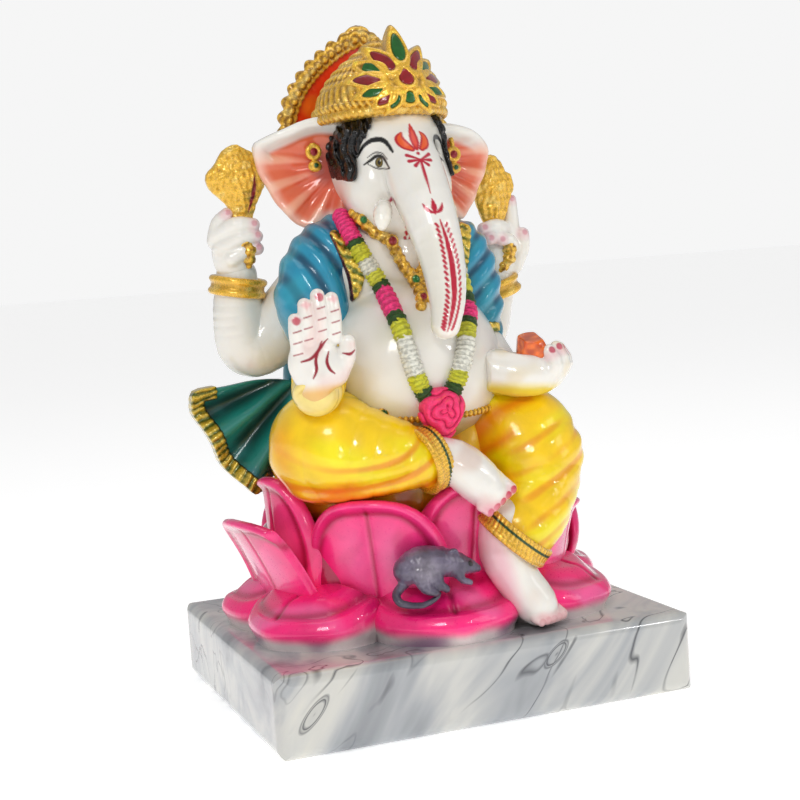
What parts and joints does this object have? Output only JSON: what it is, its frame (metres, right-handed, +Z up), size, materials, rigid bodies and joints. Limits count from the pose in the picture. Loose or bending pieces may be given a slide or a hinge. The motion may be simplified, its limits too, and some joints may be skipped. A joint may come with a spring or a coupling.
{
  "type": "seated elephant-headed idol",
  "caption": "Seated four-armed elephant-headed household idol in glossy painted resin, on a lotus seat over a veined marble slab.",
  "frame": {"origin": "centre of the slab's base, the face it stands on", "axes": "+Z up, the figure faces -Y, +X to the viewer's right"},
  "size_m": [0.1442, 0.121, 0.2257],
  "materials": {
    "marble": "polished, cream and grey, dark veins",
    "lotus_pink": "gloss lacquer over magenta paint",
    "lotus_base": "gloss lacquer, pink fading to grey at the slab",
    "skin_white": "gloss lacquer over ivory white",
    "yellow_cloth": "gloss lacquer, orange in the folds",
    "gold": "gold paint under gloss lacquer",
    "teal_cloth": "gloss lacquer, blue to teal",
    "tail_cloth": "gloss lacquer, teal to green",
    "ear_coral": "gloss lacquer, white edge over coral ribs",
    "hair_black": "gloss",
    "panel_orange": "gloss",
    "gem_red": "gloss, red, green and white stones",
    "tusk_ivory": "gloss",
    "sweet_orange": "satin",
    "garland_thread": "satin, banded pink, green, yellow and white",
    "rose_pink": "gloss",
    "mouse_grey": "gloss"
  },
  "bodies": {
    "root": {"slab": "marble", "lotus_core": "lotus_base", "upper_petal_1": "lotus_pink", "upper_petal_2": "lotus_pink", "upper_petal_3": "lotus_pink", "upper_petal_4": "lotus_pink", "upper_petal_5": "lotus_pink", "upper_petal_6": "lotus_pink", "upper_petal_7": "lotus_pink", "lower_petal_1": "lotus_base", "lower_petal_2": "lotus_base", "lower_petal_3": "lotus_base", "lower_petal_4": "lotus_base", "lower_petal_5": "lotus_base", "lower_petal_6": "lotus_base", "lower_petal_7": "lotus_base", "torso": "skin_white", "seat_cloth": "yellow_cloth", "folded_leg": "yellow_cloth", "hanging_leg": "yellow_cloth", "leg_hems": "gold", "belt": "gold", "folded_foot": "skin_white", "hanging_foot": "skin_white", "head": "skin_white", "hair": "hair_black", "trunk": "skin_white", "tusks": "tusk_ivory", "ear_left": "ear_coral", "ear_right": "ear_coral", "earrings": "gold", "crown_cap": "gold", "crown_band": "gold", "crown_crest": "gold", "crown_gems": "gem_red", "halo_panel": "panel_orange", "halo_rim": "gold", "sleeve_left": "teal_cloth", "sleeve_right": "teal_cloth", "sleeve_trim": "gold", "cape": "teal_cloth", "shawl_tail": "tail_cloth", "shawl_hem": "gold", "palm_arm": "yellow_cloth", "palm_hand": "skin_white", "sweet_arm": "skin_white", "sweet_hand": "skin_white", "sweet": "sweet_orange", "rear_arm_left": "skin_white", "rear_arm_right": "skin_white", "rear_hand_left": "skin_white", "rear_hand_right": "skin_white", "bracelets": "gold", "hand_chains": "gold", "axe_ornament": "gold", "lotus_ornament": "gold", "necklace": "gold", "garland": "garland_thread", "rose": "rose_pink", "mouse": "mouse_grey"}
  },
  "joints": []
}
